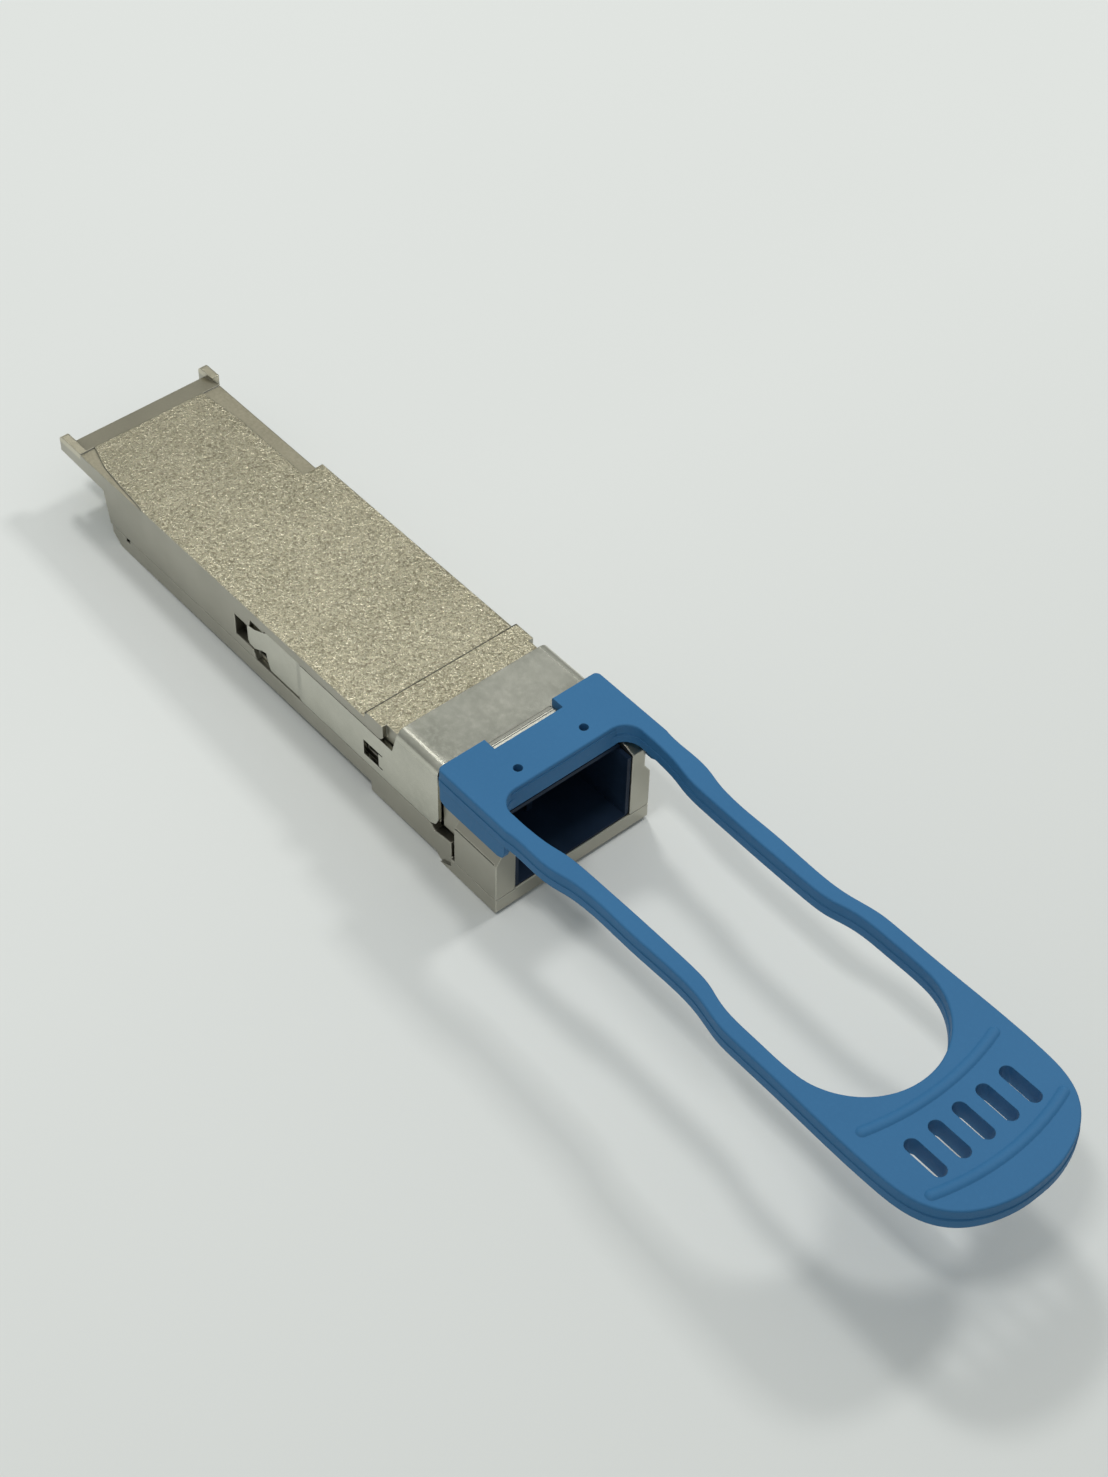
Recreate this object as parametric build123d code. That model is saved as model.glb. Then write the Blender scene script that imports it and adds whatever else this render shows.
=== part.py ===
from build123d import *
import math
import os

# Pluggable optical transceiver module with a sprung pull-tab latch release. All lengths are in millimetres.
# +X runs from the host connector to the pull tab, +Z is up and +Y is on the left when facing along +X.
# The origin lies on the flat underside of the cage-fitting body, on its centre line.

# Body envelope
X_NOSE = 41.0          # front face of the nose
HALF_W = 9.175         # half the width that fits the cage
BODY_H = 8.5           # height that fits the cage
X_HORN = -30.2         # rear tips of the side walls
X_ROOF = -29.1         # rear edge of the roof
X_RAMP = -26.3         # crest of the lead-in ramp on the roof
Z_RAMP = 7.8           # height of the roof at its rear edge
X_BASE = -21.6         # rear end of the lower shell
WALL_FOOT_REAR = 6.2   # underside of the side walls beside the card
SEAM_Z = 2.05          # parting plane between the shells
SEAM_GAP = 0.08        # visible gap at the parting plane
ROOF_UNDER = 7.1       # inner face of the roof
FLOOR_Z = 1.0          # inner face of the base
CAVITY_Y = 7.9         # half width of the inner cavity
CARD_CAVITY_Y = 8.3    # half width between the rear side walls
FRONT_CAVITY_Y = 6.6   # half width of the cavity between the spring grooves

# Top face
RIM_DROP = 0.14        # depth of the smooth rim beside the textured field
KEY_X = -9.4           # front end of the keying notch in the left top edge
KEY_DEPTH = 1.5        # depth of the keying notch below the top face
KEY_Y = 8.35           # inner face of the keying notch
X_BAND = 21.4          # rear edge of the raised band
X_BAND_END = 24.1      # front end of the band over the side flanges
BAND_Z = 9.4           # top of the raised band
BAND_EDGE = 0.22       # bevel along its rear top edge
FLANGE_Z = 7.38        # lower edge of the flange over each latch arm

# Nose
X_SADDLE = 26.7        # rear face of the saddle block under the slider
SADDLE_Z = 10.1        # top of the saddle block
SADDLE_Y = 8.65        # half width of the saddle block
X_ROOF_FRONT = 37.75   # front edge of the nose roof
NOSE_ROOF_UNDER = 8.95 # inner face of the nose roof
NOSE_Y = 9.4           # half width of the nose cheeks
X_CHEEK = 34.95        # rear face of the nose cheeks
CHEEK_Z = 4.8          # height at which the cheeks start to slope in
SHOULDER_Z = 6.0       # height at which the slope ends
PORT_Y = 7.1           # half width of the port opening
PORT_FLOOR = 0.1       # floor of the port opening
X_STEP = 22.0          # step down of the underside in front of the cage
STEP_Z = -1.2          # underside of the stepped part
NOSE_BASE_Z = -1.8     # underside of the nose
X_NOSE_BASE = 32.0     # rear edge of the nose underside

# Latch slider, folded from sheet
SHEET = 0.4
SLIDER_Y = 9.175       # outer half width of the slider
SLIDER_Z = 10.6        # top of the slider panel
BEND_R = 1.0           # outer radius of the two long bends
X_PANEL = 26.25        # rear edge of the top panel
X_SIDE_FRONT = 32.3    # front edge of the side panels
ARM_TOP = 7.25
ARM_FOOT = 2.17
X_ARM_TIP = 2.4        # rear tip of the latch arms
X_ARM_WIDE = 5.6       # where the arms reach full height
X_JOGGLE = (10.4, 11.2)             # where the arms joggle inwards towards their tips: x0, x1
JOGGLE = 0.12          # depth of that joggle
RECESS_Y = 8.55        # floor of the recess the arms run in
WINDOW = (21.0, 23.3, 3.15, 5.15)   # spring window in each arm: x0, x1, z0, z1
SLIT = (23.9, 0.16)    # relief slits at the window's corners: front end, height
POCKET = (0.3, 6.2, 3.22, 6.0)      # deep latch pocket behind each arm tip: x0, x1, z0, z1
POCKET_Y = 8.05        # floor of that pocket

# Return springs
SPRING_Z = 4.2
SPRING_Y = 8.02
SPRING_R = 0.5         # radius of the coil's centre line
SPRING_WIRE = 0.22
SPRING_TURNS = 10
GROOVE_FRONT = 31.4    # front end wall of the spring groove
GROOVE_HALF = 0.72
GROOVE_Y = 7.3

# Pull tab
TAB_TOP = 11.6
TAB_FOOT = 9.4
TAB_SPLIT = 10.35      # height of the parting step round the tab
TAB_STEP = 0.08        # width of that step
TAB_EDGE = 0.2         # rounding of the tab's top edges
X_HEAD = 32.8          # rear edge of the head
X_BAR = 39.25          # front face of the crossbar
HEAD_Y = 9.65
SKIRT_FOOT = 7.2
SKIRT_IN = 8.95
X_SKIRT = 42.4
NOTCH_Y = 4.1
X_NOTCH = 34.35
CORE_HOLE = (37.5, 3.95, 0.46)      # core-pin holes in the head: x, y, radius
X_LIP = 38.4           # front edge of the slider lip inside the head
HEAD_CORNER = 0.6      # rounding of the head's rear corners
LOOP_R = 8.0           # end radius of the loop's inside
X_LOOP = 77.0          # centre of that radius
X_TAB_END = 98.0
# Outline stations of one arm: distance forward of the nose front, half width
ARM_OUTER = [(3.0, 9.5), (6.2, 9.5), (7.8, 9.32), (9.4, 8.95), (11.2, 8.72), (13.0, 8.64), (17.0, 8.7),
             (23.0, 8.62), (24.8, 8.7), (26.3, 8.9), (27.7, 9.2), (29.3, 9.5), (31.5, 9.6), (36.5, 9.63)]
ARM_INNER = [(0.6, 7.8), (3.6, 7.72), (5.4, 7.5), (7.0, 7.18), (8.6, 7.02), (11.0, 6.96), (15.0, 6.9),
             (22.0, 6.9), (24.0, 6.95), (25.6, 7.15), (27.3, 7.62), (29.5, 7.95), (32.0, 8.0)]
GRIP_OUTER = [(42.0, 9.75), (48.0, 9.7), (50.8, 9.42), (52.8, 8.75), (54.4, 7.6), (55.6, 6.0), (56.5, 3.8),
              (56.95, 1.5)]
RIBS = [(45.55, 44.45), (53.45, 52.25)]   # x at the middle and at the ends, forward of the nose front
RIB_HALF_SPAN = 7.8
RIB_R = 0.75           # radius of the ribs' round backs
RIB_RISE = 0.24        # height of the ribs above the tab
SLOT_Y = [-5.6, -2.8, 0, 2.8, 5.6]
SLOT = (47.3, 51.7, 1.4)            # x0, x1, width of each grip slot, forward of the nose front

# Circuit board
CARD_Z = 4.6
CARD_T = 1.0
X_CARD = -29.0
X_CARD_FRONT = 20.3
CARD_Y = 8.2
BOARD_Y = 7.55
X_CARD_WIDE = -23.4
PAD_PITCH = 0.8
PAD_COUNT = 19
PAD_T = 0.05
PROCESSOR = (-9.0, 5.6, 1.2)        # centre x, half size, height
CHIP_X = 14.0
CHIP_Y = 3.2

# Fasteners: two at the rear, two at the front
SCREWS = [(-17.0, 6.2), (-17.0, -6.2), (18.4, 6.2), (18.4, -6.2)]
BOSS_R = 1.6
SCREW_R = 0.8
HEAD_R = 1.5

# Fibre port
FERRULE_Y = 3.125
FERRULE_Z = 4.4
FERRULE_R = 0.625
SLEEVE_R = 0.85
X_SLEEVE = (27.4, 33.4)
INSERT_X = (26.9, 40.85)
INSERT_Z = (0.15, 8.75)
LINER = 0.45
LINER_FLOOR = 0.2


def box(x0, x1, y0, y1, z0, z1):
    """Return an axis-aligned block between two corners."""
    return Pos((x0 + x1) / 2, (y0 + y1) / 2, (z0 + z1) / 2) * Box(x1 - x0, y1 - y0, z1 - z0)


def prism_y(points, y0, y1):
    """Extrude an X-Z outline from y0 to y1."""
    ring = Polyline(*[(x, y0, z) for x, z in points], close=True)
    return extrude(make_face(ring), amount=y1 - y0, dir=(0, 1, 0))


def prism_z(points, z0, z1):
    """Extrude an X-Y outline from z0 to z1."""
    ring = Polyline(*[(x, y, z0) for x, y in points], close=True)
    return extrude(make_face(ring), amount=z1 - z0, dir=(0, 0, 1))


def prism_x(points, x0, x1):
    """Extrude a Y-Z outline from x0 to x1."""
    ring = Polyline(*[(x0, y, z) for y, z in points], close=True)
    return extrude(make_face(ring), amount=x1 - x0, dir=(1, 0, 0))


def both(part):
    """Return a part together with its mirror image across the centre plane."""
    return part + mirror(part, about=Plane.XZ)


def peg(x, y, z0, z1, r):
    """Return an upright cylinder."""
    return Pos(x, y, (z0 + z1) / 2) * Cylinder(r, z1 - z0)


def rod(x0, x1, y, z, r):
    """Return a cylinder along X."""
    return Pos((x0 + x1) / 2, y, z) * Rot(0, 90, 0) * Cylinder(r, x1 - x0)


def solids(items):
    """Group separate solids in one node."""
    return Compound(children=[s for item in items for s in item.solids()])


def upper_shell():
    """Die-cast cover: roof, side walls, raised band, saddle block and nose cheeks."""
    foot = SEAM_Z + SEAM_GAP
    profile = [(X_HORN, WALL_FOOT_REAR + 0.3), (X_HORN, BODY_H), (X_BAND, BODY_H),
               (X_BAND, BAND_Z - BAND_EDGE), (X_BAND + BAND_EDGE, BAND_Z),
               (X_BAND_END, BAND_Z), (X_BAND_END, foot), (-21.9, foot), (-22.5, WALL_FOOT_REAR)]
    shell = prism_y(profile, -HALF_W, HALF_W)
    shell += box(X_BAND_END - 0.5, X_SADDLE, -SADDLE_Y, SADDLE_Y, foot, BAND_Z)
    saddle = box(X_SADDLE - 0.1, X_ROOF_FRONT, -SADDLE_Y, SADDLE_Y, foot, SADDLE_Z)
    shell += chamfer(saddle.edges().filter_by(Axis.X).sort_by(Axis.Z)[-2:], 0.4)
    cheek = [(SADDLE_Y - 0.5, PORT_FLOOR), (NOSE_Y, PORT_FLOOR), (NOSE_Y, CHEEK_Z),
             (SADDLE_Y, SHOULDER_Z), (SADDLE_Y - 0.5, SHOULDER_Z)]
    shell += both(prism_x(cheek, X_CHEEK, X_NOSE))
    jamb = [(X_ROOF_FRONT - 1, PORT_FLOOR), (X_NOSE, PORT_FLOOR), (X_NOSE, 8.4), (39.0, 9.15),
            (X_ROOF_FRONT, 9.15), (X_ROOF_FRONT - 1, 9.15)]
    shell += both(prism_y(jamb, PORT_Y, SADDLE_Y))
    shell += box(X_CHEEK, X_ROOF_FRONT - 0.5, -SADDLE_Y, SADDLE_Y, PORT_FLOOR, foot + 0.1)
    # crease at the foot of each sloped shoulder
    shell -= both(box(X_CHEEK - 1, X_NOSE - 0.35, NOSE_Y - 0.14, NOSE_Y + 1, CHEEK_Z, CHEEK_Z + 0.12))
    # lead-in ramp between the rear horns
    ramp = [(X_HORN - 1, BODY_H + 1), (X_HORN - 1, 0), (X_ROOF, 0), (X_ROOF, Z_RAMP), (X_RAMP, BODY_H),
            (X_RAMP, BODY_H + 1)]
    shell -= prism_y(ramp, -CARD_CAVITY_Y, CARD_CAVITY_Y)
    # inner cavity, stepped in plan
    shell -= box(X_HORN - 1, X_CARD_WIDE + 0.9, -CARD_CAVITY_Y, CARD_CAVITY_Y, -1, ROOF_UNDER)
    shell -= box(X_CARD_WIDE, 22.2, -CAVITY_Y, CAVITY_Y, -1, ROOF_UNDER)
    shell -= box(22.0, X_SADDLE, -FRONT_CAVITY_Y, FRONT_CAVITY_Y, -1, ROOF_UNDER)
    shell -= box(X_SADDLE - 0.01, X_NOSE + 1, -PORT_Y, PORT_Y, -1, NOSE_ROOF_UNDER)
    # smooth rims beside the textured field
    rim_left = [(X_RAMP - 1, 6.2), (X_RAMP, 6.2), (-20.5, 6.75), (KEY_X, 6.75), (KEY_X, 10), (X_RAMP - 1, 10)]
    shell -= prism_z(rim_left, BODY_H - RIM_DROP, BODY_H + 1) & box(X_RAMP, 0, 0, KEY_Y + 0.1, 0, 20)
    rim_right = [(X_RAMP, -7.4), (-23.3, -8.3), (-20.3, -8.65), (-16.0, -9.0), (-11.0, -10), (X_RAMP, -10)]
    shell -= prism_z(rim_right, BODY_H - RIM_DROP, BODY_H + 1)
    # keying notch along the left top edge, behind its front step
    shell -= box(-27.6, KEY_X, KEY_Y, HALF_W + 1, BODY_H - KEY_DEPTH, BODY_H + 1)
    # recesses for the latch arms, latch pockets and spring grooves
    recess = [(X_ARM_TIP - 0.1, 3.19), (3.2, 3.14), (3.45, 2.44), (4.6, foot - 1), (X_BAND_END + 1, foot - 1),
              (X_BAND_END + 1, FLANGE_Z), (5.3, FLANGE_Z), (5.2, 7.1), (3.05, 7.15), (2.7, 6.02),
              (X_ARM_TIP - 0.1, 6.0)]
    shell -= both(prism_y(recess, RECESS_Y, HALF_W + 1))
    x0, x1, z0, z1 = POCKET
    shell -= both(box(x0, x1, POCKET_Y, HALF_W + 1, z0, z1))
    shell -= both(box(3.5, x1, POCKET_Y, HALF_W + 1, 2.6, z0 + 0.1))
    # rounded front corner of the flange over each arm
    corner = box(X_BAND_END - 0.7, X_BAND_END + 0.1, RECESS_Y + 0.1, HALF_W + 1,
                 FLANGE_Z - 0.1, FLANGE_Z + 0.7)
    corner -= Pos(X_BAND_END - 0.7, 0, FLANGE_Z + 0.7) * Rot(90, 0, 0) * Cylinder(0.7, 40)
    shell -= both(corner)
    # hook-shaped gap between the slider and the cheek
    hook = [(31.4, foot - 0.1), (31.4, 2.35), (32.0, 2.6), (32.05, 7.0), (32.45, 7.0), (32.5, 2.65),
            (X_CHEEK, 2.6), (X_CHEEK, foot - 0.1)]
    shell -= both(prism_y(hook, 7.6, SADDLE_Y + 0.3))
    z0 = SPRING_Z - GROOVE_HALF
    z1 = SPRING_Z + GROOVE_HALF
    shell -= both(box(WINDOW[0], GROOVE_FRONT, GROOVE_Y, HALF_W + 1, z0, z1))
    for x, y in SCREWS:
        shell += peg(x, y, FLOOR_Z + 0.6, ROOF_UNDER + 0.2, BOSS_R)
        shell -= peg(x, y, 0, 5.9, SCREW_R + 0.02)
    # pedestal that carries heat from the processor to the roof
    x, half, tall = PROCESSOR
    shell += box(x - half, x + half, -half, half, CARD_Z + CARD_T + tall + 0.15, ROOF_UNDER + 0.1)
    return shell


def round_horns(shell):
    """Round the upright rear corners of the side walls."""
    tips = shell.edges().filter_by(Axis.Y).filter_by(lambda e: abs(e.center().X - X_HORN) < 0.01)
    tips = tips.filter_by(lambda e: abs(e.center().Z - BODY_H) < 0.01)
    return fillet(tips, 0.6)


def lower_shell():
    """Die-cast base: floor, side rails, stepped underside and nose plate."""
    side = [(X_BASE, 1.2), (X_BASE + 1.4, 0), (X_STEP, 0), (X_STEP, STEP_Z), (X_NOSE_BASE, STEP_Z),
            (X_NOSE_BASE + 0.5, NOSE_BASE_Z), (X_NOSE - 0.15, NOSE_BASE_Z), (X_NOSE, NOSE_BASE_Z + 0.15),
            (X_NOSE, 0), (34.2, 0), (34.15, 1.85), (33.0, 1.75), (31.7, 1.5), (31.2, SEAM_Z),
            (X_BASE, SEAM_Z)]
    base = prism_y(side, -HALF_W, HALF_W)
    base += box(34.4, X_NOSE, -NOSE_Y, NOSE_Y, -1.2, 0)
    plate = [(34.2, -1.2), (X_NOSE_BASE + 0.8, NOSE_BASE_Z), (X_NOSE - 0.15, NOSE_BASE_Z),
             (X_NOSE, NOSE_BASE_Z + 0.15), (X_NOSE, -1.1), (34.2, -1.1)]
    base += prism_y(plate, -NOSE_Y, NOSE_Y)
    base -= box(X_BASE - 1, 22.2, -CAVITY_Y - 0.3, CAVITY_Y + 0.3, FLOOR_Z, 5)
    base -= box(22.0, 33.2, -8.2, 8.2, FLOOR_Z, 5)
    base -= box(28.0, X_NOSE - 0.01, -8.2, 8.2, PORT_FLOOR - 0.08, 5)
    base += box(38.9, X_NOSE, -PORT_Y + 0.05, PORT_Y - 0.05, -0.2, PORT_FLOOR)
    # seam gasket grooves and countersunk screw holes
    base -= both(box(-17.6, 2.2, 8.5, 8.9, SEAM_Z - 0.35, 5))
    for x, y in SCREWS:
        base += peg(x, y, FLOOR_Z - 0.1, FLOOR_Z + 0.55, BOSS_R)
        base -= peg(x, y, -1, 3, SCREW_R + 0.12)
        base -= Pos(x, y, 0.4) * Cone(HEAD_R + 0.1, SCREW_R + 0.12, 0.8)
    # pry notches at the rear of the side rails
    base -= both(box(-19.1, -18.4, HALF_W - 0.5, HALF_W + 1, 1.55, SEAM_Z + 1))
    # shallow recess for the label
    base -= box(-13.5, 14.5, -6.6, 6.6, -1, 0.12)
    return base


def screw(x, y):
    """Countersunk shell screw with a cross recess."""
    body = Pos(x, y, 0.43) * Cone(HEAD_R, SCREW_R, 0.7)
    body += peg(x, y, 0.7, 5.4, SCREW_R)
    body -= box(x - 0.8, x + 0.8, y - 0.14, y + 0.14, 0, 0.5)
    body -= box(x - 0.14, x + 0.14, y - 0.8, y + 0.8, 0, 0.5)
    return body


def seam_gasket(side):
    """Conductive elastomer cord in one side rail."""
    y0, y1 = sorted((side * 8.55, side * 8.85))
    return box(-17.5, 2.1, y0, y1, SEAM_Z - 0.33, SEAM_Z + SEAM_GAP)


def label_plate():
    """Blank film in the recess of the underside."""
    film = box(-13.3, 14.3, -6.4, 6.4, 0.02, 0.12)
    return fillet(film.edges().filter_by(Axis.Z), 0.6)


def latch_slider():
    """Folded sheet: saddle panel, two side panels with long latch arms, and the overmoulded lip."""
    inner = SLIDER_Y - SHEET
    outer_ring = box(X_ARM_TIP, X_SIDE_FRONT, -SLIDER_Y, SLIDER_Y, ARM_FOOT, SLIDER_Z)
    outer_ring = fillet(outer_ring.edges().filter_by(Axis.X).sort_by(Axis.Z)[-2:], BEND_R)
    void = box(X_ARM_TIP - 1, X_SIDE_FRONT + 1, -inner, inner, ARM_FOOT - 1, SLIDER_Z - SHEET)
    void = fillet(void.edges().filter_by(Axis.X).sort_by(Axis.Z)[-2:], BEND_R - SHEET)
    channel = outer_ring - void
    side = [(X_SIDE_FRONT, 20), (X_SIDE_FRONT, ARM_FOOT + 1.3), (X_SIDE_FRONT - 0.4, ARM_FOOT + 0.45),
            (X_SIDE_FRONT - 1.2, ARM_FOOT), (X_ARM_WIDE + 0.3, ARM_FOOT), (X_ARM_WIDE + 0.1, 2.6),
            (X_ARM_WIDE - 0.2, 3.5), (X_ARM_WIDE - 0.35, 4.2), (4.4, 3.9), (3.3, 3.28), (X_ARM_TIP, 3.33),
            (X_ARM_TIP, 5.88), (2.75, 5.93), (3.5, 6.08), (X_ARM_WIDE - 0.4, 6.9), (X_ARM_WIDE, ARM_TOP),
            (X_PANEL - 0.75, ARM_TOP),
            (X_PANEL - 0.7, ARM_TOP + 0.2), (X_PANEL, SLIDER_Z - 0.6), (X_PANEL, 20)]
    slider = channel & prism_y(side, -HALF_W - 1, HALF_W + 1)
    joggle = [(X_ARM_TIP - 1, SLIDER_Y - JOGGLE), (X_JOGGLE[0], SLIDER_Y - JOGGLE), (X_JOGGLE[1], SLIDER_Y),
              (X_JOGGLE[1], 11), (X_ARM_TIP - 1, 11)]
    slider -= both(prism_z(joggle, 0, ARM_TOP + 1))
    back = [(X_ARM_TIP, inner + 0.05), (X_JOGGLE[1], inner + 0.05), (X_JOGGLE[0], inner - JOGGLE),
            (X_ARM_TIP, inner - JOGGLE)]
    slider += both(prism_z(back, 0, 20) & prism_y(side, 0, 12) & box(0, 20, 0, 12, 0, ARM_TOP))
    x0, x1, z0, z1 = WINDOW
    slider -= both(box(x0, x1, 8, 10, z0, z1))
    slider -= both(box(x1 - 0.1, SLIT[0], 8.4, 10, z0, z0 + SLIT[1]))
    slider -= both(box(x1 - 0.1, SLIT[0], 8.4, 10, z1 - SLIT[1], z1))
    # tabs bent in from the windows, which the return springs push on
    slider += both(box(x1 - 0.02, x1 + SHEET, GROOVE_Y + 0.12, inner + 0.1, SPRING_Z - 0.62, SPRING_Z + 0.62))
    # arm tips turned in towards the latch pockets
    slider += both(box(X_ARM_TIP - 0.3, X_ARM_TIP + 0.1, POCKET_Y + 0.12, SLIDER_Y - 0.2, 3.5, 5.7))
    # lip that the head of the tab is moulded around, with its rolled bead in the notch
    slider += box(X_PANEL + 1, X_LIP, -8.1, 8.1, SLIDER_Z - SHEET, SLIDER_Z)
    slider += hem()
    slider -= box(X_HEAD - 0.02, X_HEAD + 0.13, -3.95, 3.95, SLIDER_Z - 0.13, SLIDER_Z + 1)
    for y in (-CORE_HOLE[1], CORE_HOLE[1]):
        slider -= peg(CORE_HOLE[0], y, 9, 12, CORE_HOLE[2] - 0.12)
    return slider


def hem():
    """Folded hem of the sheet that shows in the notch of the tab."""
    x0 = X_HEAD + 0.13
    x1 = X_NOTCH - 0.25
    z0 = SLIDER_Z - SHEET
    z1 = SLIDER_Z + 0.32
    bar = prism_y([(x0, z0), (x1, z0), (x1, z1), (x0 + 0.45, z1), (x0, z1 - 0.14)], -3.92, 3.72)
    nose = bar.edges().filter_by(Axis.Y).filter_by(lambda e: e.center().X > x1 - 0.01)
    bar = fillet(nose.sort_by(Axis.Z)[-1:], 0.34)
    for x in (x0 + 0.4, x0 + 0.62):
        bar -= box(x, x + 0.06, -5, 5, z1 - 0.07, z1 + 1)
    return bar


def tab_plate(grow, z0, z1):
    """One layer of the pull tab between two heights."""
    outer = [(X_HEAD, HEAD_Y + grow), (X_NOSE + 1.6, HEAD_Y + grow)]
    outer += [(X_NOSE + x, y + grow) for x, y in ARM_OUTER]
    outer += [(X_NOSE + x + (grow if x > 50 else 0), y + grow) for x, y in GRIP_OUTER]
    curve = outer[1:] + [(X_TAB_END + grow, 0)] + [(x, -y) for x, y in reversed(outer[1:])]
    rim = Spline(*[(x, y, z0) for x, y in curve])
    y = HEAD_Y + grow
    r = HEAD_CORNER
    k = r * (1 - math.sqrt(0.5))
    ends = [Line((X_HEAD + r, y, z0), (X_NOSE + 1.6, y, z0)),
            Line((X_NOSE + 1.6, -y, z0), (X_HEAD + r, -y, z0)),
            ThreePointArc((X_HEAD + r, -y, z0), (X_HEAD + k, k - y, z0), (X_HEAD, r - y, z0)),
            Line((X_HEAD, r - y, z0), (X_HEAD, y - r, z0)),
            ThreePointArc((X_HEAD, y - r, z0), (X_HEAD + k, y - k, z0), (X_HEAD + r, y, z0))]
    plate = extrude(make_face(Wire([rim] + ends)), amount=z1 - z0, dir=(0, 0, 1))
    inner = [(X_NOSE + x, y - grow) for x, y in ARM_INNER]
    curve = inner + [(X_LOOP + (LOOP_R - grow) * math.sin(t), (LOOP_R - grow) * math.cos(t))
                     for t in [math.radians(d) for d in (0, 15, 30, 45, 60, 75)]]
    curve = curve + [(X_LOOP + LOOP_R - grow, 0)] + [(x, -y) for x, y in reversed(curve)]
    corner = 2.0
    xb = X_BAR + grow
    yb = inner[0][1]
    rim = Spline(*[(x, y, z0) for x, y in curve])
    k = corner * (1 - math.sqrt(0.5))
    arc1 = ThreePointArc((xb, yb - corner, z0), (xb + k, yb - k, z0), (inner[0][0], yb, z0))
    arc2 = ThreePointArc((inner[0][0], -yb, z0), (xb + k, -yb + k, z0), (xb, -yb + corner, z0))
    bar = Line((xb, -yb + corner, z0), (xb, yb - corner, z0))
    hole = extrude(make_face(Wire([rim, arc1, arc2, bar])), amount=z1 - z0 + 2, dir=(0, 0, 1))
    return plate - Pos(0, 0, -1) * hole


def rib(mid, end):
    """Raised curved grip rib with rounded ends."""
    z = TAB_TOP + RIB_RISE - RIB_R
    path = ThreePointArc((X_NOSE + end, -RIB_HALF_SPAN, z), (X_NOSE + mid, 0, z), (X_NOSE + end, RIB_HALF_SPAN, z))
    start = Plane(path @ 0, z_dir=path % 0)
    bar = sweep(start * Circle(RIB_R), path)
    bar += Pos(X_NOSE + end, RIB_HALF_SPAN, z) * Sphere(RIB_R)
    bar += Pos(X_NOSE + end, -RIB_HALF_SPAN, z) * Sphere(RIB_R)
    return bar


def grip_slot(y):
    """Through slot in the grip, rounded at both ends."""
    x0, x1, wide = SLOT
    cut = extrude(SlotOverall(x1 - x0, wide), amount=TAB_TOP - TAB_FOOT + 2)
    return Pos(X_NOSE + (x0 + x1) / 2, y, TAB_FOOT - 1) * cut


def pull_tab():
    """Overmoulded tab: head with side skirts, crossbar, two waved arms and the ribbed grip loop."""
    crown = tab_plate(0, TAB_SPLIT, TAB_TOP)
    crown = fillet(crown.edges().filter_by(lambda e: abs(e.center().Z - TAB_TOP) < 0.01), TAB_EDGE)
    tab = tab_plate(TAB_STEP, TAB_FOOT, TAB_SPLIT) + crown
    tab += box(X_ROOF_FRONT + 0.15, X_BAR + TAB_STEP, -6.6, 6.6, 9.1, TAB_TOP - 0.5)
    skirt = [(X_HEAD, TAB_TOP - 1), (X_HEAD, SKIRT_FOOT + 0.6), (X_HEAD + 1.2, SKIRT_FOOT),
             (X_SKIRT - 0.9, SKIRT_FOOT), (X_SKIRT - 0.25, SKIRT_FOOT + 0.3), (X_SKIRT, SKIRT_FOOT + 1.0),
             (X_SKIRT, TAB_TOP - 1)]
    skirt = prism_y(skirt, SKIRT_IN, HEAD_Y)
    rear = skirt.edges().filter_by(Axis.Z).filter_by(lambda e: e.center().X < X_HEAD + 0.01)
    tab += both(fillet(rear.sort_by(Axis.Y)[-1:], HEAD_CORNER))
    tab -= box(X_HEAD - 1, X_ROOF_FRONT + 0.15, -SKIRT_IN, SKIRT_IN, 0, SLIDER_Z - SHEET)
    tab -= box(X_ROOF_FRONT - 1, X_NOSE + 2, -SKIRT_IN, SKIRT_IN, 0, 9.09)
    tab -= box(X_HEAD - 1, X_LIP, -8.1, 8.1, SLIDER_Z - SHEET - 0.1, SLIDER_Z)
    tab -= box(X_HEAD - 1, X_NOTCH, -NOTCH_Y, NOTCH_Y, 0, 20)
    for y in (-CORE_HOLE[1], CORE_HOLE[1]):
        tab -= peg(CORE_HOLE[0], y, 9.8, 12, CORE_HOLE[2])
    for mid, end in RIBS:
        tab += rib(mid, end)
    for y in SLOT_Y:
        tab -= grip_slot(y)
    return tab


def return_spring(side):
    """Compression spring between the slider's bent tab and the end of its groove."""
    length = GROOVE_FRONT - (WINDOW[1] + SHEET) - 0.1
    coil = Helix(pitch=(length - SPRING_WIRE) / SPRING_TURNS, height=length - SPRING_WIRE, radius=SPRING_R)
    start = Plane(coil @ 0, z_dir=coil % 0)
    wire = sweep(start * Circle(SPRING_WIRE / 2), coil, is_frenet=True)
    x = WINDOW[1] + SHEET + 0.05 + SPRING_WIRE / 2
    return Pos(x, side * SPRING_Y, SPRING_Z) * Rot(0, 90, 0) * wire


def circuit_board():
    """Board whose rear end is the paddle card, notched round the shell bosses."""
    outline = [(X_CARD, -CARD_Y), (X_CARD_WIDE, -CARD_Y), (X_CARD_WIDE, -BOARD_Y), (X_CARD_FRONT, -BOARD_Y),
               (X_CARD_FRONT, BOARD_Y), (X_CARD_WIDE, BOARD_Y), (X_CARD_WIDE, CARD_Y), (X_CARD, CARD_Y)]
    board = prism_z(outline, CARD_Z, CARD_Z + CARD_T)
    lead = board.edges().filter_by(Axis.Y).filter_by(lambda e: abs(e.center().X - X_CARD) < 0.01)
    board = chamfer(lead, 0.25)
    for x, y in SCREWS:
        board -= peg(x, y, 4, 6, BOSS_R + 0.15)
        board -= box(x - BOSS_R - 0.15, x + BOSS_R + 0.15, *sorted((y, y * 1.5)), 4, 6)
    return board


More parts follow.
